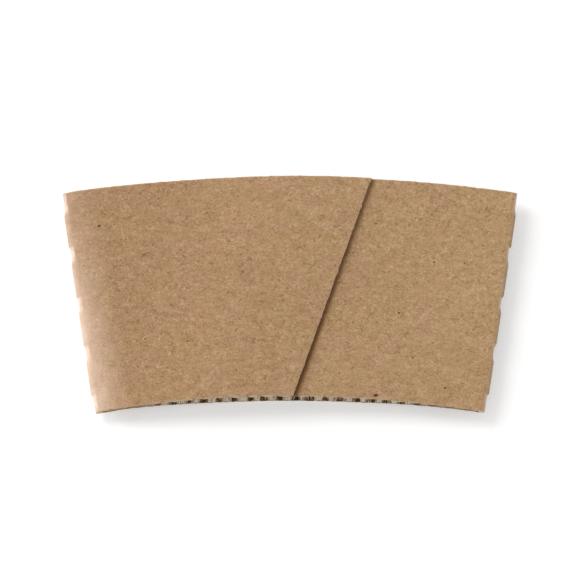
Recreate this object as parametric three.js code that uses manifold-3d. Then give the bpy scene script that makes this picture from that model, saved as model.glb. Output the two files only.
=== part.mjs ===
// A corrugated coffee cup sleeve, folded flat as it leaves the pack and sprung a few millimetres open.
//
// It is one strip of single-face board: a smooth liner outside, with a fluted medium glued to its inside.
// The strip is folded round at two side folds and its ends are lapped and glued on the front, so it is one solid.
// Millimetres, +Z up. It lies on its back panel, wide edge towards +Y and narrow edge towards -Y.
// Folded flat, the sleeve is a sector of a ring. Plan places are measured from the ring's centre, the apex.
import * as THREE from 'three';
import { mergeGeometries, mergeVertices } from 'three/addons/utils/BufferGeometryUtils.js';
import Module from 'manifold-3d';

// Outline of the folded sleeve
const TOP_WIDTH = 130;
const BOTTOM_WIDTH = 110.3;
const FOLD_LENGTH = 63.5;
const TOP_ARC_RADIUS = 445;

// Board, and how deep the glued faces bite into each other
const BOARD = 1.5;
const LINER = 0.3;
const MEDIUM = 0.28;
const GLUE_BITE = 0.06;
const FLUTE_PITCH = 4.27;
const FLUTE_SHIFT = -0.7;

// Glued lap on the front: where its slanted edge meets the two curved edges, and how far the strip runs under it
const LAP_EDGE_TOP_X = 23.1;
const LAP_EDGE_BOTTOM_X = 0.9;
const LAP_OVERLAP = 18;
const LAP_SETTLE_LENGTH = 30;

// How far the sleeve has sprung open, and the height of its side folds above the table
const MOUTH_GAP_BOTTOM = 4.9;
const MOUTH_GAP_TOP = 4.7;
const FOLD_HEIGHT_BOTTOM = 5.4;
const FOLD_HEIGHT_TOP = 6.4;
const FLAT_SHARE = 0.16;

// The left side rolls down towards its fold
const ROLL_DROP_BOTTOM = 2.4;
const ROLL_DROP_TOP = 1.2;
const ROLL_WIDTH_BOTTOM = 13;
const ROLL_WIDTH_TOP = 7;

// Side folds: the flutes are pressed flatter there, and the liner turns round them in scallops
const FOLD_RADIUS = 1.35;
const FOLD_TUCK = 1.8;
const FOLD_SINK = 0.06;
const FOLD_SETBACK = 0.12;
const PRESSED_SHARE = 0.8;
const PRESSED_WIDTH = 16;
const SCALLOP_DEPTH = 0.5;
const SCALLOP_PITCH = 14.2;
const SCALLOP_START = 2.6;
const SCALLOP_HALF_WIDTH = 2.6;
const SCALLOP_EASE = 1.6;

// Fineness of the faceted solid
const FLUTE_STEPS = 3;
const POINTS_PER_FLUTE = 6;
const FOLD_STATIONS = 40;
const FOLD_POINTS = 3;
const SHORTEST_FLUTE = 0.4;
const COLUMN_SEARCH = 0.1;
const SAME_PLACE = 1e-4;

const HALF_ANGLE = Math.asin((TOP_WIDTH - BOTTOM_WIDTH) / 2 / FOLD_LENGTH);
const BOTTOM_RADIUS = BOTTOM_WIDTH / 2 / Math.sin(HALF_ANGLE);
const TOP_RADIUS = BOTTOM_RADIUS + FOLD_LENGTH;
const BOTTOM_CORNER_Y = BOTTOM_RADIUS * Math.cos(HALF_ANGLE);
const TOP_CORNER_Y = TOP_RADIUS * Math.cos(HALF_ANGLE);
const TOP_ARC_CENTRE = new THREE.Vector2(0, TOP_CORNER_Y - Math.sqrt(TOP_ARC_RADIUS ** 2 - (TOP_WIDTH / 2) ** 2));
const MIDDLE_Y = (BOTTOM_CORNER_Y + TOP_ARC_CENTRE.y + TOP_ARC_RADIUS) / 2;
const APEX = new THREE.Vector2();

const { lerp, clamp, smoothstep } = THREE.MathUtils;

// A line in plan keeps what lies to the left of its direction
const line = (point, along) => ({ point, along });
const reversed = ({ point, along }) => line(point, along.clone().negate());
const leftOf = ({ point, along }, x, y) => along.x * (y - point.y) - along.y * (x - point.x);

function shifted({ point, along }, left) {
  return line(point.clone().add(new THREE.Vector2(-along.y, along.x).multiplyScalar(left)), along);
}

function turned({ point, along }, angle) {
  return line(point.clone().rotateAround(APEX, angle), along.clone().rotateAround(APEX, angle));
}

// Where the boards end beside a fold; side is -1 at the left fold and +1 at the right one
function foldLine(side) {
  const outline = line(APEX, new THREE.Vector2(side * Math.sin(HALF_ANGLE), Math.cos(HALF_ANGLE)));
  return shifted(outline, side * FOLD_RADIUS);
}

function lapEdgeLine() {
  const bottom = new THREE.Vector2(LAP_EDGE_BOTTOM_X, Math.sqrt(BOTTOM_RADIUS ** 2 - LAP_EDGE_BOTTOM_X ** 2));
  const rise = Math.sqrt(TOP_ARC_RADIUS ** 2 - LAP_EDGE_TOP_X ** 2);
  const top = new THREE.Vector2(LAP_EDGE_TOP_X, TOP_ARC_CENTRE.y + rise);
  return line(bottom, top.sub(bottom).normalize());
}

const lapEdge = lapEdgeLine();
const leftFold = foldLine(-1);
const rightFold = foldLine(1);

// Place on the folded sleeve: share runs from -1 at the left fold to +1 at the right one, along from the narrow
// edge to the wide one, and inset is the distance in from the nearer side
function placeOn(x, y) {
  const angle = Math.atan2(x, y);
  const radius = Math.hypot(x, y);
  return {
    share: angle / HALF_ANGLE,
    along: (radius - BOTTOM_RADIUS) / FOLD_LENGTH,
    inset: radius * Math.sin(HALF_ANGLE - Math.abs(angle)),
  };
}

// 1 over the flat middle, falling to 0 at the side folds: how far the two panels stand apart
function apart(share) {
  const t = clamp((Math.abs(share) - FLAT_SHARE) / (1 - FLAT_SHARE), 0, 1);
  return (1 + Math.cos(Math.PI * t)) / 2;
}

// Height of the surface midway between the panels, which the side folds lie in
function foldHeight({ share, along, inset }) {
  const level = lerp(FOLD_HEIGHT_BOTTOM, FOLD_HEIGHT_TOP, along);
  if (share > 0) return level;
  const width = lerp(ROLL_WIDTH_BOTTOM, ROLL_WIDTH_TOP, along);
  const drop = lerp(ROLL_DROP_BOTTOM, ROLL_DROP_TOP, along);
  return level - drop * clamp(1 - inset / width, 0, 1) ** 2;
}

// Heights of the liner's outer face on each panel
function backFace(x, y) {
  const place = placeOn(x, y);
  return (foldHeight(place) - FOLD_RADIUS) * (1 - apart(place.share));
}

function rightFrontFace(x, y) {
  const place = placeOn(x, y);
  const middle = 2 * BOARD + lerp(MOUTH_GAP_BOTTOM, MOUTH_GAP_TOP, place.along);
  return lerp(foldHeight(place) + FOLD_RADIUS, middle, apart(place.share));
}

// The left front panel lies on the right one where they lap, and settles to its level on the way to the left fold
function leftFrontFace(x, y) {
  const settled = smoothstep(leftOf(lapEdge, x, y) - LAP_OVERLAP, 0, LAP_SETTLE_LENGTH);
  return rightFrontFace(x, y) + (BOARD - GLUE_BITE) * (1 - settled);
}

// Share of its full thickness that the board keeps near a fold
function thicknessShare(x, y) {
  const { inset } = placeOn(x, y);
  return lerp(PRESSED_SHARE, 1, smoothstep(inset, FOLD_RADIUS, FOLD_RADIUS + PRESSED_WIDTH));
}

// Board section across one flute, from the liner's outer face at 0 to the crest of the medium at BOARD
const MEDIUM_CREST = BOARD - MEDIUM / 2;
const MEDIUM_ROOT = LINER + MEDIUM / 2 - GLUE_BITE;
const MEDIUM_SWING = (MEDIUM_CREST - MEDIUM_ROOT) / 2;
const GLUE_START = (Math.acos(GLUE_BITE / MEDIUM_SWING - 1) / (2 * Math.PI)) * FLUTE_PITCH;

const mediumHeight = (x) => MEDIUM_ROOT + MEDIUM_SWING * (1 + Math.cos((2 * Math.PI * x) / FLUTE_PITCH));

// One flute and the liner under it, between start and end. The outline of the panel turns a corner at each of
// corners. A flute cut short at a panel's end is not hollow.
function fluteSection({ centre, start, end, corners, inward }) {
  const step = FLUTE_PITCH / POINTS_PER_FLUTE;
  const at = (x, depth) => new THREE.Vector2(x, -inward * depth);
  const outerAt = (x) => at(x, mediumHeight(x - centre) + MEDIUM / 2);
  const innerAt = (x) => at(x, mediumHeight(x - centre) - MEDIUM / 2);
  const steps = Array.from({ length: POINTS_PER_FLUTE - 1 }, (_, i) => centre + (i + 1 - POINTS_PER_FLUTE / 2) * step);
  const turns = corners.filter((x) => x > start + COLUMN_SEARCH && x < end - COLUMN_SEARCH);
  const crest = [
    ...steps.filter((x) => x > start + SAME_PLACE && x < end - SAME_PLACE),
    ...turns.filter((x) => steps.every((other) => Math.abs(x - other) > SAME_PLACE)),
  ].sort((a, b) => b - a);

  const shape = new THREE.Shape([start, ...turns, end].map((x) => at(x, 0)));
  [end, ...crest, start].map(outerAt).forEach(({ x, y }) => shape.lineTo(x, y));
  if (end - start > FLUTE_PITCH - SAME_PLACE) {
    const roof = steps.filter((x) => Math.abs(x - centre) < GLUE_START - step / 2).map(innerAt);
    shape.holes.push(new THREE.Path([at(centre - GLUE_START, LINER), ...roof, at(centre + GLUE_START, LINER)]));
  }
  return shape;
}

// Triangles of a geometry that do not lie wholly in one of the planes x = value
function withoutWalls(geometry, planes) {
  const from = geometry.getAttribute('position').array;
  const kept = [];
  for (let i = 0; i < from.length; i += 9) {
    const inPlane = (value) => [0, 3, 6].every((corner) => Math.abs(from[i + corner] - value) < SAME_PLACE);
    if (!planes.some(inPlane)) kept.push(...from.subarray(i, i + 9));
  }
  return new THREE.BufferGeometry().setAttribute('position', new THREE.Float32BufferAttribute(kept, 3));
}

// Ends of the flute line at x, inside both curved edges and on the kept side of every line, and the bounds they
// lie on: a line's number, or -1 for a curved edge
function fluteEnds(x, arcCentre, lines) {
  const low = Math.sqrt(BOTTOM_RADIUS ** 2 - x ** 2);
  const high = arcCentre.y + Math.sqrt(TOP_ARC_RADIUS ** 2 - (x - arcCentre.x) ** 2);
  const ends = { x, low, high, lowBound: -1, highBound: -1 };
  lines.forEach(({ point, along }, number) => {
    const crossing = point.y + (along.y / along.x) * (x - point.x);
    if (along.x > 0 && crossing > ends.low) Object.assign(ends, { low: crossing, lowBound: number });
    if (along.x < 0 && crossing < ends.high) Object.assign(ends, { high: crossing, highBound: number });
  });
  return ends;
}

// A panel of board, bounded by lines. Its flutes are turned from +Y about the apex, and inward is +1 where the
// medium is above the liner and -1 where it is below.
function panel({ turn, lines, outerFace, inward }) {
  const arcCentre = TOP_ARC_CENTRE.clone().rotateAround(APEX, -turn);
  const bounds = lines.map((bound) => turned(bound, -turn));
  const shift = turn === 0 ? FLUTE_SHIFT : -FLUTE_SHIFT;
  const endsAt = (x) => fluteEnds(x, arcCentre, bounds);

  const columns = [];
  const reach = TOP_RADIUS * Math.sin(4 * HALF_ANGLE);
  for (let x = -reach; x <= reach; x += COLUMN_SEARCH) {
    const ends = endsAt(x);
    if (ends.high - ends.low > SHORTEST_FLUTE) columns.push(ends);
  }
  const corners = columns.slice(1).filter(({ lowBound, highBound }, i) => {
    return lowBound !== columns[i].lowBound || highBound !== columns[i].highBound;
  });
  const start = columns[0].x;
  const end = columns[columns.length - 1].x;
  const valley = (k) => (k + 0.5) * FLUTE_PITCH + shift;

  const flutes = [];
  for (let k = Math.ceil((start - shift) / FLUTE_PITCH - 0.5); valley(k - 1) < end - SAME_PLACE; k += 1) {
    const section = fluteSection({
      centre: k * FLUTE_PITCH + shift,
      start: Math.max(valley(k - 1), start),
      end: Math.min(valley(k), end),
      corners: corners.map(({ x }) => x),
      inward,
    });
    const whole = new THREE.ExtrudeGeometry(section, { depth: 1, steps: FLUTE_STEPS, bevelEnabled: false });
    flutes.push(withoutWalls(whole, [valley(k - 1), valley(k)].filter((x) => x > start && x < end)));
  }

  const geometry = mergeGeometries(flutes);
  const position = geometry.getAttribute('position');
  for (let i = 0; i < position.count; i += 1) {
    const { low, high } = endsAt(position.getX(i));
    const plan = new THREE.Vector2(position.getX(i), lerp(low, high, position.getZ(i))).rotateAround(APEX, turn);
    const height = outerFace(plan.x, plan.y) - position.getY(i) * thicknessShare(plan.x, plan.y);
    position.setXYZ(i, plan.x, plan.y - MIDDLE_Y, height);
  }
  return geometry;
}

// 0 on the proud stretches of a side fold, 1 in the middle of a scallop
function scallop(length) {
  const phase = THREE.MathUtils.euclideanModulo(length - SCALLOP_START + SCALLOP_PITCH / 2, SCALLOP_PITCH);
  return 1 - smoothstep(Math.abs(phase - SCALLOP_PITCH / 2), SCALLOP_HALF_WIDTH - SCALLOP_EASE, SCALLOP_HALF_WIDTH);
}

// The board's turn at one side fold, tucked in between the two panels
function sideFold(side) {
  const halfHeight = FOLD_RADIUS - FOLD_SINK;
  const section = new THREE.Shape([new THREE.Vector2(-FOLD_TUCK, -halfHeight), new THREE.Vector2(0, -halfHeight)]);
  section.absellipse(0, 0, FOLD_RADIUS, halfHeight, -Math.PI / 2, Math.PI / 2, false, 0);
  section.lineTo(-FOLD_TUCK, halfHeight);
  const geometry = new THREE.ExtrudeGeometry(section, {
    depth: 1,
    steps: FOLD_STATIONS,
    curveSegments: FOLD_POINTS,
    bevelEnabled: false,
  });

  const along = new THREE.Vector2(side * Math.sin(HALF_ANGLE), Math.cos(HALF_ANGLE));
  const outward = new THREE.Vector2(side * Math.cos(HALF_ANGLE), -Math.sin(HALF_ANGLE));
  const position = geometry.getAttribute('position');
  for (let i = 0; i < position.count; i += 1) {
    const length = lerp(FOLD_SETBACK, FOLD_LENGTH - FOLD_SETBACK, position.getZ(i));
    const across = position.getX(i);
    const reach = across > 0 ? across * (1 - (SCALLOP_DEPTH / FOLD_RADIUS) * scallop(length)) : across;
    const plan = along.clone().multiplyScalar(BOTTOM_RADIUS + length);
    plan.addScaledVector(outward, reach - FOLD_RADIUS);
    const height = foldHeight(placeOn(plan.x, plan.y)) - side * position.getY(i);
    position.setXYZ(i, plan.x, plan.y - MIDDLE_Y, height);
  }
  return geometry;
}

const wasm = await Module();
wasm.setup();

function solidOf(geometry) {
  geometry.deleteAttribute('normal');
  geometry.deleteAttribute('uv');
  const merged = mergeVertices(geometry, SAME_PLACE);
  const vertProperties = merged.getAttribute('position').array;
  const triVerts = Uint32Array.from(merged.index.array);
  return new wasm.Manifold(new wasm.Mesh({ numProp: 3, vertProperties, triVerts }));
}

function geometryOf(solid) {
  const { vertProperties, triVerts } = solid.getMesh();
  const geometry = new THREE.BufferGeometry();
  geometry.setAttribute('position', new THREE.Float32BufferAttribute(vertProperties, 3));
  geometry.setIndex([...triVerts]);
  geometry.computeVertexNormals();
  return geometry;
}

const backPanel = {
  turn: 0,
  lines: [rightFold, reversed(leftFold)],
  outerFace: backFace,
  inward: 1,
};

const rightFrontPanel = {
  turn: -2 * HALF_ANGLE,
  lines: [rightFold, reversed(shifted(lapEdge, LAP_OVERLAP))],
  outerFace: rightFrontFace,
  inward: -1,
};

const leftFrontPanel = {
  turn: 2 * HALF_ANGLE,
  lines: [lapEdge, reversed(leftFold)],
  outerFace: leftFrontFace,
  inward: -1,
};

function sleeve() {
  const pieces = [panel(backPanel), panel(rightFrontPanel), panel(leftFrontPanel), sideFold(-1), sideFold(1)];
  const solid = pieces.map(solidOf).reduce((whole, piece) => whole.add(piece));
  const kraft = new THREE.MeshStandardMaterial({ color: 0xae8b6a, roughness: 0.9, metalness: 0 });
  const mesh = new THREE.Mesh(geometryOf(solid), kraft);
  mesh.name = 'sleeve';
  return mesh;
}

const model = new THREE.Group();
model.add(sleeve());

export default model;
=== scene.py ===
"""Kraft corrugated coffee cup sleeve, folded flat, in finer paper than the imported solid."""
import math

import bpy
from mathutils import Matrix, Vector, noise


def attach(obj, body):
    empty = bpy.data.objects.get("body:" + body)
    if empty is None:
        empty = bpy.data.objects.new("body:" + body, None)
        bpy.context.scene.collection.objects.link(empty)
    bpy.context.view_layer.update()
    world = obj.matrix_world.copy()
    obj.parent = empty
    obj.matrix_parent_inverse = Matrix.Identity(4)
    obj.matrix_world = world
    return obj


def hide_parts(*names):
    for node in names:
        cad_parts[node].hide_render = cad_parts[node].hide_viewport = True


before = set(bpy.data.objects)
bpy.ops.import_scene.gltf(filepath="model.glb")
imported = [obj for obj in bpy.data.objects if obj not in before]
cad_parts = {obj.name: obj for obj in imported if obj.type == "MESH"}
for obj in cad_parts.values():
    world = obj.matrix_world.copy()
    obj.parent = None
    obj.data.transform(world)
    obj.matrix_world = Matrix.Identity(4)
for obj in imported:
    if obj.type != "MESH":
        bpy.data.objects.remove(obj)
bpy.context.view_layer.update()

# Millimetres, as in the part's source
MM = 0.001

# Outline of the folded sleeve
TOP_WIDTH = 130
BOTTOM_WIDTH = 110.3
FOLD_LENGTH = 63.5
TOP_ARC_RADIUS = 445

# Board: a smooth liner outside and a fluted medium inside
BOARD = 1.5
LINER = 0.26
MEDIUM = 0.2
GLUE_BITE = 0.06
FLUTE_PITCH = 4.27
FLUTE_SHIFT = -0.7
CREST_SHARPNESS = 1.15
FLUTE_UNEVEN = 0.9
UNEVEN_RATE = 0.4

# Glued lap on the front
LAP_EDGE_TOP_X = 23.1
LAP_EDGE_BOTTOM_X = 0.9
LAP_OVERLAP = 18
LAP_SETTLE_LENGTH = 30
LAP_PRESS = 0.3
LAP_PRESS_WIDTH = 10

# How far the sleeve has sprung open, and the height of its side folds above the table
MOUTH_GAP_BOTTOM = 4.9
MOUTH_GAP_TOP = 4.7
FOLD_HEIGHT_BOTTOM = 5.4
FOLD_HEIGHT_TOP = 6.4
FLAT_SHARE = 0.16
ROLL_DROP_BOTTOM = 2.4
ROLL_DROP_TOP = 1.2
ROLL_WIDTH_BOTTOM = 13
ROLL_WIDTH_TOP = 7

# Side folds and their scallops
FOLD_RADIUS = 1.35
PRESSED_SHARE = 0.8
PRESSED_WIDTH = 16
SCALLOP_DEPTH = 0.5
SCALLOP_PITCH = 14.2
SCALLOP_START = 2.6
SCALLOP_HALF_WIDTH = 2.6
SCALLOP_EASE = 2.2
SCALLOP_STEP = 0.4
FOLD_TUCK = 0.8

# Fineness of the meshes
ROWS = 100
COLUMN_STEP = 0.8
FOLD_STEPS = 12
POINTS_PER_FLUTE = 14
FLUTE_ROWS = 22
FOLD_CORE_ROWS = 60
SHORTEST_FLUTE = 0.3
SLOPE_STEP = 0.01

# How pale the inside is where it has no flutes, on the scale from painted shade in the valleys (0) to
# painted highlight on the crests (1)
LINER_CREST = 0.3
FOLD_CREST = 0.5

# Cut edges: how far the cut wanders, and the pale, slightly crushed strip beside it
CUT_WANDER = 0.1
SLOW_WANDER = 0.5
QUICK_WANDER = 2.2
QUICK_SHARE = 0.7
MEDIUM_SEED = 5
EDGE_STRIP = 0.35
EDGE_CRUSH = 0.08
WANDER_SEED = 1

# Pale strip beside each fold, partly wear and partly painted highlight: side, width and strength, and how
# strongly its proud stretches show it
FOLD_WEAR_AND_HIGHLIGHT = [(-1, 1.7, 0.95), (1, 1.3, 0.65)]
PROUD_WEAR_AND_HIGHLIGHT = 0.26

# Broad painted highlight on the flank of the left fold, which grows from a place in y down to another
FLANK_WIDTH = 12
FLANK_HIGHLIGHT = 0.75
FLANK_FROM_Y = 22
FLANK_TO_Y = -12

# The two folds meet at an apex, from which the plan is measured until the meshes are made
HALF_ANGLE = math.asin((TOP_WIDTH - BOTTOM_WIDTH) / 2 / FOLD_LENGTH)
BOTTOM_RADIUS = BOTTOM_WIDTH / 2 / math.sin(HALF_ANGLE)
TOP_RADIUS = BOTTOM_RADIUS + FOLD_LENGTH
BOTTOM_CORNER_Y = BOTTOM_RADIUS * math.cos(HALF_ANGLE)
TOP_CORNER_Y = TOP_RADIUS * math.cos(HALF_ANGLE)
TOP_ARC_Y = TOP_CORNER_Y - math.sqrt(TOP_ARC_RADIUS ** 2 - (TOP_WIDTH / 2) ** 2)
MIDDLE_Y = (BOTTOM_CORNER_Y + TOP_ARC_Y + TOP_ARC_RADIUS) / 2


def lerp(a, b, t):
    return a + (b - a) * t


def clamp(value, low, high):
    return max(low, min(high, value))


def smoothstep(value, low, high):
    t = clamp((value - low) / (high - low), 0, 1)
    return t * t * (3 - 2 * t)


def solve(rising, low, high):
    """The place between low and high where a rising function crosses zero."""
    for _ in range(40):
        middle = (low + high) / 2
        if rising(middle) > 0:
            high = middle
        else:
            low = middle
    return (low + high) / 2


def top_radius(angle):
    """Distance from the apex to the wide edge, in the direction at angle from +Y."""
    ahead = TOP_ARC_Y * math.cos(angle)
    return ahead + math.sqrt(TOP_ARC_RADIUS ** 2 - (TOP_ARC_Y * math.sin(angle)) ** 2)


def plan(angle, along):
    """Place in plan at an angle from +Y about the apex, at a share of the way from narrow to wide edge."""
    radius = lerp(BOTTOM_RADIUS, top_radius(angle), along)
    return radius * math.sin(angle), radius * math.cos(angle)


# The slanted edge of the lap, and the distance to the left of it
LAP_BOTTOM = Vector((LAP_EDGE_BOTTOM_X, math.sqrt(BOTTOM_RADIUS ** 2 - LAP_EDGE_BOTTOM_X ** 2)))
LAP_TOP = Vector((LAP_EDGE_TOP_X, TOP_ARC_Y + math.sqrt(TOP_ARC_RADIUS ** 2 - LAP_EDGE_TOP_X ** 2)))
LAP_ALONG = (LAP_TOP - LAP_BOTTOM).normalized()


def left_of_lap(x, y):
    return LAP_ALONG.x * (y - LAP_BOTTOM.y) - LAP_ALONG.y * (x - LAP_BOTTOM.x)


def lap_angle(along, left):
    """Angle at which the line at a distance left of the lap edge is met."""
    return solve(lambda angle: left - left_of_lap(*plan(angle, along)), -HALF_ANGLE, HALF_ANGLE)


def fold_angle(along):
    """Angle at which a panel ends beside its side fold."""
    return HALF_ANGLE - math.asin(FOLD_RADIUS / lerp(BOTTOM_RADIUS, TOP_RADIUS, along))


# Heights of the liner's outer face, as in the part's source
def share_of(x, y):
    return math.atan2(x, y) / HALF_ANGLE


def along_of(x, y):
    return (math.hypot(x, y) - BOTTOM_RADIUS) / FOLD_LENGTH


def inset_of(x, y):
    return math.hypot(x, y) * math.sin(HALF_ANGLE - abs(math.atan2(x, y)))


def apart(x, y):
    t = clamp((abs(share_of(x, y)) - FLAT_SHARE) / (1 - FLAT_SHARE), 0, 1)
    return (1 + math.cos(math.pi * t)) / 2


def fold_height(x, y):
    along = along_of(x, y)
    level = lerp(FOLD_HEIGHT_BOTTOM, FOLD_HEIGHT_TOP, along)
    if x > 0:
        return level
    width = lerp(ROLL_WIDTH_BOTTOM, ROLL_WIDTH_TOP, along)
    drop = lerp(ROLL_DROP_BOTTOM, ROLL_DROP_TOP, along)
    return level - drop * clamp(1 - inset_of(x, y) / width, 0, 1) ** 2


def back_face(x, y):
    return (fold_height(x, y) - FOLD_RADIUS) * (1 - apart(x, y))


def right_front_face(x, y):
    middle = 2 * BOARD + lerp(MOUTH_GAP_BOTTOM, MOUTH_GAP_TOP, along_of(x, y))
    return lerp(fold_height(x, y) + FOLD_RADIUS, middle, apart(x, y))


def left_front_face(x, y):
    left = left_of_lap(x, y)
    settled = smoothstep(left - LAP_OVERLAP, 0, LAP_SETTLE_LENGTH)
    pressed = LAP_PRESS * (1 - smoothstep(left, 0, LAP_PRESS_WIDTH))
    return right_front_face(x, y) + (BOARD - GLUE_BITE) * (1 - settled) - pressed


def thickness_share(x, y):
    return lerp(PRESSED_SHARE, 1, smoothstep(inset_of(x, y), FOLD_RADIUS, FOLD_RADIUS + PRESSED_WIDTH))


def scallop(length):
    """0 on the proud stretches of a side fold, 1 in a scallop; both ends of the fold lie in one."""
    last = SCALLOP_START + SCALLOP_PITCH * math.floor((FOLD_LENGTH - SCALLOP_START) / SCALLOP_PITCH)
    length = clamp(length, SCALLOP_START, last)
    phase = (length - SCALLOP_START + SCALLOP_PITCH / 2) % SCALLOP_PITCH - SCALLOP_PITCH / 2
    ease = SCALLOP_STEP if phase > 0 else SCALLOP_EASE
    return 1 - smoothstep(abs(phase), SCALLOP_HALF_WIDTH - ease, SCALLOP_HALF_WIDTH)


def wander(x, y, seed):
    """How far a cut edge strays from its line in plan."""
    slow = Vector((x * SLOW_WANDER, y * SLOW_WANDER, seed))
    quick = Vector((x * QUICK_WANDER, y * QUICK_WANDER, seed))
    stray = noise.noise_vector(slow) + QUICK_SHARE * noise.noise_vector(quick)
    return CUT_WANDER * Vector((stray.x, stray.y, 0))


def spread(count, near_start, near_end):
    """Shares from 0 to 1, closer together in the pale strips beside the cut edges."""
    steps = [lerp(near_start, 1 - near_end, i / count) for i in range(count + 1)]
    if near_start:
        steps = [0, near_start / 2, *steps]
    if near_end:
        steps = [*steps, 1 - near_end / 2, 1]
    return steps


def fold_wear_and_highlight(x, y):
    """How strongly the side fold's wear and painted highlight show at the height of a place: most in the
    scallops.
    """
    length = abs(x) * math.sin(HALF_ANGLE) + y * math.cos(HALF_ANGLE) - BOTTOM_RADIUS
    return lerp(PROUD_WEAR_AND_HIGHLIGHT, 1, scallop(length))


def at_edge(inset):
    """1 on a cut edge, falling to 0 a strip's width in from it."""
    return clamp(1 - inset / EDGE_STRIP, 0, 1)


# One row of the strip, from its hidden end round both folds to the lap edge. Each point of the outer
# face comes with its inward direction and its nearness to a cut edge.
def panel_row(along, start, end, face, inward, cut_end=False):
    width = abs(end - start) * lerp(BOTTOM_RADIUS, TOP_RADIUS, along)
    rim_inset = min(along, 1 - along) * FOLD_LENGTH
    row = []
    for u in spread(COLUMNS[face], 0, EDGE_STRIP / width if cut_end else 0):
        x, y = plan(lerp(start, end, u), along)
        inset = min(rim_inset, (1 - u) * width) if cut_end else rim_inset
        row.append((Vector((x, y, face(x, y))), Vector((0, 0, inward)), at_edge(inset)))
    return row


def fold_row(along, side, first, last):
    x, y = plan(side * fold_angle(along), along)
    front, back = right_front_face(x, y), back_face(x, y)
    centre = Vector((x, y, (front + back) / 2))
    outward = Vector((side * math.cos(HALF_ANGLE), -math.sin(HALF_ANGLE), 0))
    length = x * side * math.sin(HALF_ANGLE) + y * math.cos(HALF_ANGLE) - BOTTOM_RADIUS
    reach = FOLD_RADIUS - SCALLOP_DEPTH * scallop(length)
    up = Vector((0, 0, (front - back) / 2))
    row = []
    for i in range(1, FOLD_STEPS):
        turn = math.radians(lerp(first, last, i / FOLD_STEPS))
        point = centre + outward * reach * math.cos(turn) + up * math.sin(turn)
        inward = -(outward * math.cos(turn) + up.normalized() * math.sin(turn))
        row.append((point, inward, at_edge(min(along, 1 - along) * FOLD_LENGTH)))
    return row


COLUMNS = {
    right_front_face: round((TOP_WIDTH / 2 - LAP_EDGE_BOTTOM_X + LAP_OVERLAP) / COLUMN_STEP),
    back_face: round(TOP_WIDTH / COLUMN_STEP),
    left_front_face: round((TOP_WIDTH / 2 + LAP_EDGE_TOP_X) / COLUMN_STEP),
}


def strip_row(along):
    fold = fold_angle(along)
    return [
        *panel_row(along, lap_angle(along, LAP_OVERLAP), fold, right_front_face, -1),
        *fold_row(along, 1, 90, -90),
        *panel_row(along, fold, -fold, back_face, 1),
        *fold_row(along, -1, -90, 90),
        *panel_row(along, -fold, lap_angle(along, 0), left_front_face, -1, cut_end=True),
    ]


def new_object(name, points, faces, kinds, materials, **values):
    """A mesh from points in millimetres, with a material for each face and named values for each point."""
    mesh = bpy.data.meshes.new(name)
    mesh.from_pydata([(p.x * MM, (p.y - MIDDLE_Y) * MM, p.z * MM) for p in points], [], faces)
    for material in materials:
        mesh.materials.append(material)
    mesh.polygons.foreach_set("material_index", kinds)
    mesh.polygons.foreach_set("use_smooth", [kind != CUT_FACE for kind in kinds])
    for key, numbers in values.items():
        mesh.attributes.new(key, "FLOAT", "POINT").data.foreach_set("value", numbers)
    obj = bpy.data.objects.new(name, mesh)
    bpy.context.collection.objects.link(obj)
    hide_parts("sleeve")
    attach(obj, "root")


OUTER_FACE, INNER_FACE, CUT_FACE = range(3)


def sheet_faces(rows, columns):
    """Faces of a closed sheet, whose outer layer of points comes before its inner one, and their kinds."""
    layer = rows * columns
    outer = []
    inner = []
    rims = []
    for a in (i * columns + j for i in range(rows - 1) for j in range(columns - 1)):
        outer.append((a, a + 1, a + columns + 1, a + columns))
        inner.append((layer + a, layer + a + columns, layer + a + columns + 1, layer + a + 1))
    for a in range(columns - 1):
        b = (rows - 1) * columns + a
        rims.append((a, layer + a, layer + a + 1, a + 1))
        rims.append((b, b + 1, layer + b + 1, layer + b))
    for a in range(0, (rows - 1) * columns, columns):
        b = a + columns - 1
        rims.append((a, a + columns, layer + a + columns, layer + a))
        rims.append((b, layer + b, layer + b + columns, b + columns))
    kinds = [OUTER_FACE] * len(outer) + [INNER_FACE] * len(inner) + [CUT_FACE] * len(rims)
    return outer + inner + rims, kinds


def build_liner(materials):
    """The smooth outer paper, one sheet from its hidden end round both folds to the lap edge."""
    near = EDGE_STRIP / FOLD_LENGTH
    rows = [strip_row(along) for along in spread(ROWS, near, near)]
    outer = []
    inner = []
    cuts = []
    worn = []
    for point, inward, cut in (entry for row in rows for entry in row):
        moved = point + wander(point.x, point.y, inward.z) * cut + inward * EDGE_CRUSH * cut * cut
        outer.append(moved)
        inner.append(moved + inward * LINER)
        cuts.append(cut)
        worn.append(fold_wear_and_highlight(point.x, point.y))
    faces, kinds = sheet_faces(len(rows), len(rows[0]))
    crests = [LINER_CREST] * len(outer)
    new_object("sleeve_liner", outer + inner, faces, kinds, materials,
               cut=cuts + cuts, worn=worn + worn, crest=crests + crests)


# Fluted medium, laid out in a panel's own plan, in which its flutes run straight along +Y
def turned(point, angle):
    cos, sin = math.cos(angle), math.sin(angle)
    return Vector((point.x * cos - point.y * sin, point.x * sin + point.y * cos))


def fold_bound(side):
    """The line beside a fold where a panel ends, which keeps what is to its left."""
    along = Vector((side * math.sin(HALF_ANGLE), math.cos(HALF_ANGLE)))
    across = Vector((-along.y, along.x))
    return across * side * FOLD_RADIUS, along * side


def lap_bound(left, keeps):
    across = Vector((-LAP_ALONG.y, LAP_ALONG.x))
    return LAP_BOTTOM + across * left, LAP_ALONG * keeps


def flute_ends(x, arc_centre, bounds):
    low = math.sqrt(BOTTOM_RADIUS ** 2 - x ** 2)
    high = arc_centre.y + math.sqrt(TOP_ARC_RADIUS ** 2 - (x - arc_centre.x) ** 2)
    for point, along in bounds:
        crossing = point.y + along.y / along.x * (x - point.x)
        if along.x > 0:
            low = max(low, crossing)
        else:
            high = min(high, crossing)
    return low, high


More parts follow.
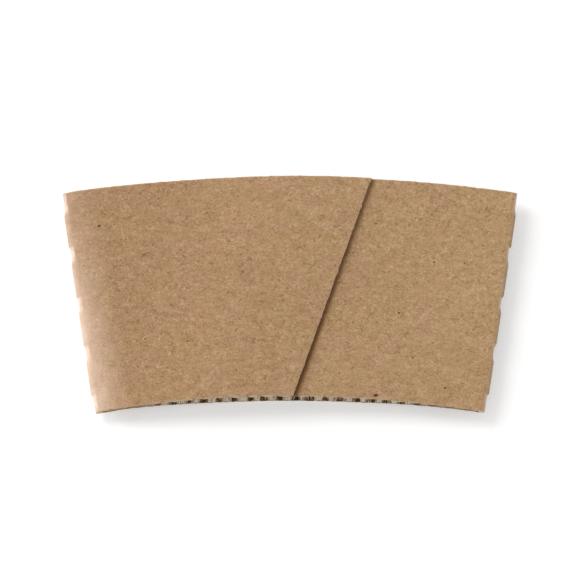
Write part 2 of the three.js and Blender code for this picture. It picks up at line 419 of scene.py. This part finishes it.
def crest_share(x):
    """1 on the crest of a flute and 0 in its valley, at x from a crest. The flutes are slightly uneven."""
    uneven = x + FLUTE_UNEVEN * noise.noise(Vector((x * UNEVEN_RATE, 0.5, 0.5)))
    return ((1 + math.cos(2 * math.pi * uneven / FLUTE_PITCH)) / 2) ** CREST_SHARPNESS


def medium_depth(x):
    """Depth of the medium's mid line below the liner's outer face, at x from the crest of a flute."""
    return lerp(LINER + MEDIUM / 2 - GLUE_BITE, BOARD - MEDIUM / 2, crest_share(x))


def build_medium(name, turn, bounds, face, inward, materials):
    arc_centre = turned(Vector((0, TOP_ARC_Y)), -turn)
    bounds = [(turned(point, -turn), turned(along, -turn)) for point, along in bounds]
    shift = -FLUTE_SHIFT if turn else FLUTE_SHIFT
    step = FLUTE_PITCH / POINTS_PER_FLUTE
    reach = round(TOP_RADIUS * math.sin(4 * HALF_ANGLE) / step)
    columns = []
    for i in range(-reach, reach + 1):
        x = i * step + shift
        low, high = flute_ends(x, arc_centre, bounds)
        if high - low > SHORTEST_FLUTE:
            columns.append(x)

    layers = ([], [])
    crests = []
    for row in range(FLUTE_ROWS + 1):
        share = row / FLUTE_ROWS
        for x in columns:
            rise = medium_depth(x - shift + SLOPE_STEP) - medium_depth(x - shift - SLOPE_STEP)
            slope = rise / (2 * SLOPE_STEP)
            length = math.hypot(1, slope)
            low, high = flute_ends(x, arc_centre, bounds)
            for layer, offset in zip(layers, (-MEDIUM / 2, MEDIUM / 2)):
                place = turned(Vector((x - offset * slope / length, lerp(low, high, share))), turn)
                stray = wander(place.x, place.y, inward * MEDIUM_SEED) * (share in (0, 1))
                depth = medium_depth(x - shift) + offset / length
                height = face(place.x, place.y) + inward * depth * thickness_share(place.x, place.y)
                layer.append(Vector((place.x, place.y, height)) + stray)
            crests.append(crest_share(x - shift))
    faces, kinds = sheet_faces(FLUTE_ROWS + 1, len(columns))
    new_object(name, layers[0] + layers[1], faces, kinds, materials, crest=crests + crests)


def build_fold_core(name, side, materials):
    """The medium pressed flat inside a side fold, tucked in between the flutes of both panels."""
    rows = [fold_row(along, side, 90, -90) for along in spread(FOLD_CORE_ROWS, 0, 0)]
    tuck = Vector((-side * math.cos(HALF_ANGLE), math.sin(HALF_ANGLE), 0)) * FOLD_TUCK
    outer = []
    inner = []
    for row in rows:
        layers = ([point + inward * LINER for point, inward, _ in row],
                  [point + inward * (PRESSED_SHARE * BOARD) for point, inward, _ in row])
        for layer, points in zip((outer, inner), layers):
            layer.extend([points[0] + tuck, *points, points[-1] + tuck])
    faces, kinds = sheet_faces(len(rows), len(rows[0]) + 2)
    crests = [FOLD_CREST] * len(outer)
    new_object(name, outer + inner, faces, kinds, materials, crest=crests + crests)


# Materials, in linear colour
KRAFT_RED = (0.428, 0.25, 0.135)
KRAFT_YELLOW = (0.415, 0.26, 0.123)
FIBRE_LIGHT = (0.62, 0.42, 0.27)
FIBRE_DARK = (0.22, 0.12, 0.06)
SPECK_DARK = (0.05, 0.025, 0.012)
CUT_PALE = (0.6, 0.43, 0.29)
# Pale colour for the fold strips (wear and painted highlight) and for the painted highlight on the left
# flank
PALE_WEAR_AND_HIGHLIGHT = (0.92, 0.7, 0.56)
# Dark brown of the painted shadow beside the lap edge
LAP_SHADOW_DARK = (0.2, 0.085, 0.025)
# Painted shade in the valleys of the flutes
VALLEY_PAINTED_SHADE = (0.07, 0.04, 0.02)
FLANK_BROWN = (0.3, 0.19, 0.1)
# Pale crest colour: scuffed fibres with painted highlight
CREST_PALE_AND_HIGHLIGHT = (0.97, 0.79, 0.57)

# How strongly clouds, broad shades and grain lighten and darken the kraft
CLOUD_TONE = 0.9
BROAD_TONE = 0.15
GRAIN_TONE = 0.66

# The paper grows yellower and paler from the left fold to the right one
YELLOW_LEFT = -0.35
YELLOW_RIGHT = 0.45
PALER_RIGHTWARDS = 0.28

# Layers of curling fibres: spacing, fineness, an offset that keeps the layers apart, and strength, which is
# above 0 for light fibres and below 0 for dark ones
STRANDS = [
    (2.1, 0.036, 0.0, 0.46), (1.4, 0.04, 0.21, 0.32), (2.6, 0.03, 0.43, 0.5),
    (1.8, 0.036, 0.61, -0.54), (2.4, 0.03, 0.77, -0.68), (1.4, 0.038, 0.93, -0.38),
]

# Bark specks in the front's paper: place in plan from the middle of the sleeve, and size
SPECKS = [
    (-54.0, 19.5, 0.26), (-40.8, -13.0, 0.17), (-15.0, -22.3, 0.15), (24.3, 20.1, 0.15), (40.2, 22.7, 0.15),
    (40.7, 9.0, 0.17), (30.7, -5.6, 0.2), (49.3, 8.7, 0.15), (34.4, -18.4, 0.15), (43.6, -27.0, 0.24),
    (24.1, -29.2, 0.34), (-28.9, -13.8, 0.15),
]
SPECK_HEIGHT = 8.5
SPECK_SHAPE = (0.8, 1.2, 0.1)
SPECK_STRENGTH = 0.95

# Painted shadow beside the lap edge, on the front only: full up to one place in y, and thinner from another
LAP_SHADOW_WIDTH = 1.9
LAP_SHADOW_ON_CUT = 0.6
LAP_SHADOW_STRENGTH = 0.9
LAP_SHADOW_THIN_STRENGTH = 0.5
LAP_SHADOW_FULL_Y = -20
LAP_SHADOW_THIN_Y = 25
FRONT_ABOVE = 4.0
FRONT_FULLY_ABOVE = 4.1

# Beside the side folds the flutes are pressed shut, so no painted valley shade shows there
SHUT_WIDTH = 23


class Paper:
    """A node tree for a paper. Its places are in metres, and its noises are sized in millimetres."""

    def __init__(self, name):
        self.material = bpy.data.materials.new(name)
        self.material.use_nodes = True
        self.tree = self.material.node_tree
        self.shader = self.tree.nodes["Principled BSDF"]
        self.places = self.tree.nodes.new("ShaderNodeTexCoord").outputs["Object"]

    def node(self, kind, links=(), **settings):
        node = self.tree.nodes.new(kind)
        for key, value in settings.items():
            setattr(node, key, value)
        for socket, source in dict(links).items():
            if isinstance(source, bpy.types.NodeSocket):
                self.tree.links.new(source, node.inputs[socket])
            else:
                node.inputs[socket].default_value = source
        return node

    def maths(self, operation, a, b=0.0):
        return self.node("ShaderNodeMath", {0: a, 1: b}, operation=operation).outputs[0]

    def plus(self, a, b):
        return self.maths("ADD", a, b)

    def times(self, a, b):
        return self.maths("MULTIPLY", a, b)

    def vector(self, operation, a, b=(0, 0, 0)):
        node = self.node("ShaderNodeVectorMath", {0: a, 1: b}, operation=operation)
        return node.outputs["Value" if operation in ("LENGTH", "DOT_PRODUCT") else "Vector"]

    def place(self, axis):
        return self.node("ShaderNodeSeparateXYZ", {0: self.places}).outputs[axis]

    def attribute(self, name):
        return self.node("ShaderNodeAttribute", attribute_name=name).outputs["Fac"]

    def between(self, value, low, high, to_low=0.0, to_high=1.0):
        """The value stretched so that low becomes to_low and high becomes to_high, and no further."""
        links = {"Value": value, "From Min": low, "From Max": high, "To Min": to_low, "To Max": to_high}
        return self.node("ShaderNodeMapRange", links).outputs["Result"]

    def mix(self, share, a, b):
        """Colour a with a share of colour b in it."""
        a, b = ((*colour, 1) if isinstance(colour, tuple) else colour for colour in (a, b))
        return self.node("ShaderNodeMix", {0: share, 6: a, 7: b}, data_type="RGBA").outputs[2]

    def noise(self, size, detail=2.0, distortion=0.0, offset=0.0):
        """Noise whose grains are size millimetres long in x, y and z."""
        moved = self.node("ShaderNodeMapping", {"Vector": self.places, "Location": (offset, offset, offset)})
        scale = [1 / (MM * length) for length in size]
        scaled = self.node("ShaderNodeMapping", {"Vector": moved.outputs[0], "Scale": scale})
        links = {"Vector": scaled.outputs[0], "Scale": 1.0, "Detail": detail, "Distortion": distortion}
        return self.node("ShaderNodeTexNoise", links).outputs["Fac"]

    def patches(self, size, low, high, to_low=0.0, to_high=1.0, **settings):
        """Noise stretched as between does it."""
        return self.between(self.noise(size, **settings), low, high, to_low, to_high)

    def shades(self, size, strength, **settings):
        """Noise that is as often below 0 as above it."""
        return self.times(self.maths("SUBTRACT", self.noise(size, **settings), 0.5), strength)


def strands(paper, size, fineness, offset):
    """Mask of thin curling fibres, broken into short lengths: 1 along the middle of a fibre."""
    field = paper.noise((size, size * 0.8, size), detail=1.5, distortion=0.8, offset=offset)
    away = paper.maths("ABSOLUTE", paper.maths("SUBTRACT", field, 0.5))
    line = paper.between(away, 0.0, fineness, 1.0, 0.0)
    broken = paper.patches((0.9, 0.7, 0.9), 0.42, 0.56, detail=0.0, offset=offset + 0.05)
    return paper.times(line, broken)


def kraft_colour(paper):
    """Mottled kraft: faintly reddish and yellowish patches, clouds, and a felt of short fibres."""
    half = TOP_WIDTH / 2 * MM
    yellower = paper.between(paper.place("X"), -half, half, YELLOW_LEFT, YELLOW_RIGHT)
    patches = paper.patches((7, 5, 5), 0.35, 0.65)
    colour = paper.mix(paper.plus(patches, yellower), KRAFT_RED, KRAFT_YELLOW)

    tone = paper.shades((3.0, 1.8, 2), CLOUD_TONE, detail=3.0, distortion=0.5)
    tone = paper.plus(tone, paper.shades((30, 24, 20), BROAD_TONE, detail=1.0))
    tone = paper.plus(tone, paper.shades((0.6, 0.45, 0.5), GRAIN_TONE))
    tone = paper.plus(tone, paper.times(yellower, PALER_RIGHTWARDS))
    for size, fineness, offset, strength in STRANDS:
        tone = paper.plus(tone, paper.times(strands(paper, size, fineness, offset), strength))
    colour = paper.mix(paper.between(tone, 0.0, 1.0), colour, FIBRE_LIGHT)
    return paper.mix(paper.between(tone, 0.0, -1.0), colour, FIBRE_DARK)


def paper_bump(paper, depth):
    """Fine tooth of uncoated paper and its fibres."""
    tooth = paper.noise((0.3, 0.2, 0.2), detail=3.0)
    felt = paper.noise((1.2, 0.4, 0.6), distortion=0.5)
    height = paper.plus(paper.times(tooth, 0.4), felt)
    bump = paper.node("ShaderNodeBump", {"Height": height, "Strength": 1.0, "Distance": depth * MM})
    paper.tree.links.new(bump.outputs[0], paper.shader.inputs["Normal"])


def finish_paper(paper, colour, roughness, gloss=0.15):
    paper.tree.links.new(colour, paper.shader.inputs["Base Color"])
    paper.shader.inputs["Roughness"].default_value = roughness
    paper.shader.inputs["Specular IOR Level"].default_value = gloss
    return paper.material


def across(paper, direction, start):
    """Distance in metres along a direction in plan, from start."""
    return paper.maths("SUBTRACT", paper.vector("DOT_PRODUCT", paper.places, (*direction, 0)), start)


def near_fold(paper, side, width, fade=1.0):
    """1 at a side fold and 0 from a width in, falling over the last share fade of that width."""
    outward = Vector((side * math.cos(HALF_ANGLE), -math.sin(HALF_ANGLE)))
    inset = across(paper, outward, -outward.y * MIDDLE_Y * MM)
    return paper.between(inset, -width * MM, (fade - 1) * width * MM)


def left_of_edge(paper):
    """Distance in metres to the left of the lap edge."""
    normal = Vector((-LAP_ALONG.y, LAP_ALONG.x))
    return across(paper, normal, normal.dot(LAP_BOTTOM - Vector((0, MIDDLE_Y))) * MM)


def add_specks(paper, colour):
    for x, y, size in SPECKS:
        centre = (x * MM, y * MM, SPECK_HEIGHT * MM)
        away = paper.vector("MULTIPLY", paper.vector("SUBTRACT", paper.places, centre), SPECK_SHAPE)
        mark = paper.between(paper.vector("LENGTH", away), size * MM, size * MM * 2.0, SPECK_STRENGTH, 0.0)
        colour = paper.mix(mark, colour, SPECK_DARK)
    return colour


def add_painted_flank_highlight(paper, colour):
    """Painted highlight on the broad flank beside the left fold."""
    patches = paper.patches((5, 9, 5), 0.3, 0.7, 0.5, 1.0)
    lower = paper.between(paper.place("Y"), FLANK_FROM_Y * MM, FLANK_TO_Y * MM, 0.35, 1.0)
    # Painted highlight, strongest at the left fold and lower down
    highlight = paper.maths("POWER", near_fold(paper, -1, FLANK_WIDTH), 1.6)
    highlight = paper.times(paper.times(highlight, patches), lower)
    return paper.mix(paper.times(highlight, FLANK_HIGHLIGHT), colour, PALE_WEAR_AND_HIGHLIGHT)


def add_fold_wear_and_highlight(paper, colour):
    # Pale strip along each side fold: partly wear, partly painted highlight
    scuffed = paper.patches((1.8, 1.8, 0.8), 0.35, 0.6, 0.35, 1.0, detail=3.0)
    wear_and_highlight = paper.times(paper.attribute("worn"), scuffed)
    for side, width, strength in FOLD_WEAR_AND_HIGHLIGHT:
        strip = paper.times(near_fold(paper, side, width, 0.35), wear_and_highlight)
        colour = paper.mix(paper.times(strip, strength), colour, PALE_WEAR_AND_HIGHLIGHT)
    return colour


def add_lap_shadow(paper, colour):
    # Painted shadow on the lower panel just right of the lap edge
    left = left_of_edge(paper)
    line = paper.between(left, -LAP_SHADOW_WIDTH * MM, -LAP_SHADOW_WIDTH * MM / 3)
    beyond_edge = paper.between(left, 0.0, 0.05 * MM, 1.0, 0.0)
    on_front = paper.between(paper.place("Z"), FRONT_ABOVE * MM, FRONT_FULLY_ABOVE * MM)
    lap_shadow = paper.times(paper.times(line, beyond_edge), on_front)
    strength = paper.between(paper.place("Y"), LAP_SHADOW_FULL_Y * MM, LAP_SHADOW_THIN_Y * MM, LAP_SHADOW_STRENGTH,
                             LAP_SHADOW_THIN_STRENGTH)
    return paper.mix(paper.times(lap_shadow, strength), colour, LAP_SHADOW_DARK)


def add_cut_strip(paper, colour):
    """The pale strip beside a cut edge, with dark nicks in it."""
    nicks = paper.patches((0.9, 0.9, 0.9), 0.33, 0.42, detail=1.0)
    edge = paper.mix(nicks, FIBRE_DARK, CUT_PALE)
    return paper.mix(paper.times(paper.attribute("cut"), 0.8), colour, edge)


def liner_material():
    paper = Paper("kraft_liner")
    colour = kraft_colour(paper)
    for add in (add_specks, add_painted_flank_highlight, add_fold_wear_and_highlight, add_lap_shadow, add_cut_strip):
        colour = add(paper, colour)
    paper_bump(paper, 0.05)
    return finish_paper(paper, colour, 0.85)


def inside_material():
    """The medium and the liner's back: painted shade in the valleys of the flutes, and pale scuffs with
    painted highlight on their crests.
    """
    paper = Paper("kraft_inside")
    height = paper.plus(paper.attribute("crest"), paper.patches((0.5, 2.5, 0.8), 0.3, 0.7, -0.45, 0.3))
    # Colour follows the crest share: painted shade in the valleys, painted highlight with scuffs on the
    # crests
    colour = paper.mix(paper.between(height, 0.08, 0.28), VALLEY_PAINTED_SHADE, FLANK_BROWN)
    colour = paper.mix(paper.between(height, 0.36, 0.7), colour, CREST_PALE_AND_HIGHLIGHT)
    loose_fibres = paper.patches((0.32, 1.6, 0.8), 0.58, 0.66, 0.0, 0.75, detail=1.0, offset=0.37)
    colour = paper.mix(loose_fibres, colour, CREST_PALE_AND_HIGHLIGHT)
    brown_streaks = paper.patches((0.4, 2.0, 0.8), 0.6, 0.68, 0.0, 0.7, detail=1.0, offset=0.71)
    colour = paper.mix(brown_streaks, colour, FLANK_BROWN)
    shut = paper.maths("MAXIMUM", *(near_fold(paper, side, SHUT_WIDTH, 0.5) for side in (-1, 1)))
    colour = paper.mix(shut, colour, KRAFT_RED)
    paper_bump(paper, 0.04)
    return finish_paper(paper, colour, 0.9)


def cut_material():
    """Fibrous cut edge of the paper, darkened with painted shadow along the lap edge."""
    paper = Paper("kraft_cut")
    grain = paper.patches((0.35, 0.35, 0.12), 0.25, 0.5)
    away = paper.maths("ABSOLUTE", left_of_edge(paper))
    lap_shadow = paper.between(away, LAP_SHADOW_ON_CUT / 2 * MM, LAP_SHADOW_ON_CUT * MM, LAP_SHADOW_STRENGTH, 0.0)
    colour = paper.mix(lap_shadow, paper.mix(grain, KRAFT_RED, CREST_PALE_AND_HIGHLIGHT), LAP_SHADOW_DARK)
    return finish_paper(paper, colour, 1.0, gloss=0.0)


# Floor, lamps and camera, in metres
FLOOR_SIZE = 3.0
FLOOR_COLOUR = (0.8, 0.8, 0.8, 1)
FLOOR_LIFT = 0.34
AMBIENT = 0.62
KEY_PLACE = (-2.0, 1.7, 2.7)
KEY_SIZE = 2.0
KEY_POWER = 56.0
SIDE_PLACE = (-2.6, 0.7, 0.95)
SIDE_SIZE = 0.9
SIDE_POWER = 26.0

# The camera looks from the side of the narrow edge, at the photograph's angle
CAMERA_ELEVATION = 78.5
CAMERA_DISTANCE = 1.2
CAMERA_LENS = 263.2
CAMERA_TARGET = (0.0, 0.0017, 0.004)


def seen_directly(tree):
    """1 for rays from the camera, and for those that metal or glass sends on, otherwise 0."""
    rays = tree.nodes.new("ShaderNodeLightPath")
    seen = rays.outputs["Is Camera Ray"]
    for output in ("Is Glossy Ray", "Is Transmission Ray"):
        either = tree.nodes.new("ShaderNodeMath")
        either.operation = "MAXIMUM"
        tree.links.new(seen, either.inputs[0])
        tree.links.new(rays.outputs[output], either.inputs[1])
        seen = either.outputs[0]
    return seen


def build_floor():
    """A pale floor that the camera sees as white, with the sleeve's shadow on it."""
    half = FLOOR_SIZE / 2
    mesh = bpy.data.meshes.new("floor")
    corners = [(-half, -half, 0), (half, -half, 0), (half, half, 0), (-half, half, 0)]
    mesh.from_pydata(corners, [], [(0, 1, 2, 3)])
    floor = bpy.data.objects.new("floor", mesh)
    bpy.context.collection.objects.link(floor)
    material = bpy.data.materials.new("floor")
    material.use_nodes = True
    mesh.materials.append(material)
    tree = material.node_tree
    shader = tree.nodes["Principled BSDF"]
    shader.inputs["Base Color"].default_value = FLOOR_COLOUR
    shader.inputs["Roughness"].default_value = 0.9
    lift = tree.nodes.new("ShaderNodeMath")
    lift.operation = "MULTIPLY"
    lift.inputs[1].default_value = FLOOR_LIFT
    tree.links.new(seen_directly(tree), lift.inputs[0])
    shader.inputs["Emission Color"].default_value = (1, 1, 1, 1)
    tree.links.new(lift.outputs[0], shader.inputs["Emission Strength"])


def build_light():
    world = bpy.data.worlds.new("studio")
    bpy.context.scene.world = world
    world.use_nodes = True
    tree = world.node_tree
    background = tree.nodes["Background"]
    background.inputs["Color"].default_value = (1, 1, 1, 1)
    strength = tree.nodes.new("ShaderNodeMapRange")
    tree.links.new(seen_directly(tree), strength.inputs["Value"])
    strength.inputs["To Min"].default_value = AMBIENT
    strength.inputs["To Max"].default_value = 1.0
    tree.links.new(strength.outputs["Result"], background.inputs["Strength"])

    build_lamp("key", KEY_PLACE, KEY_SIZE, KEY_POWER)
    build_lamp("side", SIDE_PLACE, SIDE_SIZE, SIDE_POWER)


def build_lamp(name, place, size, power):
    """A round soft lamp that points at the sleeve."""
    light = bpy.data.lights.new(name, "AREA")
    light.shape = "DISK"
    light.size = size
    light.energy = power
    lamp = bpy.data.objects.new(name, light)
    bpy.context.collection.objects.link(lamp)
    lamp.location = place
    lamp.rotation_euler = (-Vector(place)).to_track_quat("-Z", "Y").to_euler()


def build_camera():
    lens = bpy.data.cameras.new("camera")
    lens.lens = CAMERA_LENS
    camera = bpy.data.objects.new("camera", lens)
    bpy.context.collection.objects.link(camera)
    elevation = math.radians(CAMERA_ELEVATION)
    away = Vector((0, -math.cos(elevation), math.sin(elevation))) * CAMERA_DISTANCE
    camera.location = Vector(CAMERA_TARGET) + away
    camera.rotation_euler = (-away).to_track_quat("-Z", "Y").to_euler()
    bpy.context.scene.camera = camera


def build_sleeve():
    papers = [liner_material(), inside_material(), cut_material()]
    inside = [papers[1], papers[1], papers[2]]
    right, left = fold_bound(1), fold_bound(-1)
    build_liner(papers)
    build_medium("sleeve_medium_back", 0, [right, left], back_face, 1, inside)
    build_medium("sleeve_medium_right", -2 * HALF_ANGLE, [right, lap_bound(LAP_OVERLAP, -1)],
                 right_front_face, -1, inside)
    build_medium("sleeve_medium_left", 2 * HALF_ANGLE, [lap_bound(0, 1), left], left_front_face, -1, inside)
    build_fold_core("sleeve_fold_core_left", -1, inside)
    build_fold_core("sleeve_fold_core_right", 1, inside)


noise.seed_set(WANDER_SEED)
build_sleeve()
build_floor()
build_light()
build_camera()
bpy.context.scene.view_settings.view_transform = "Standard"
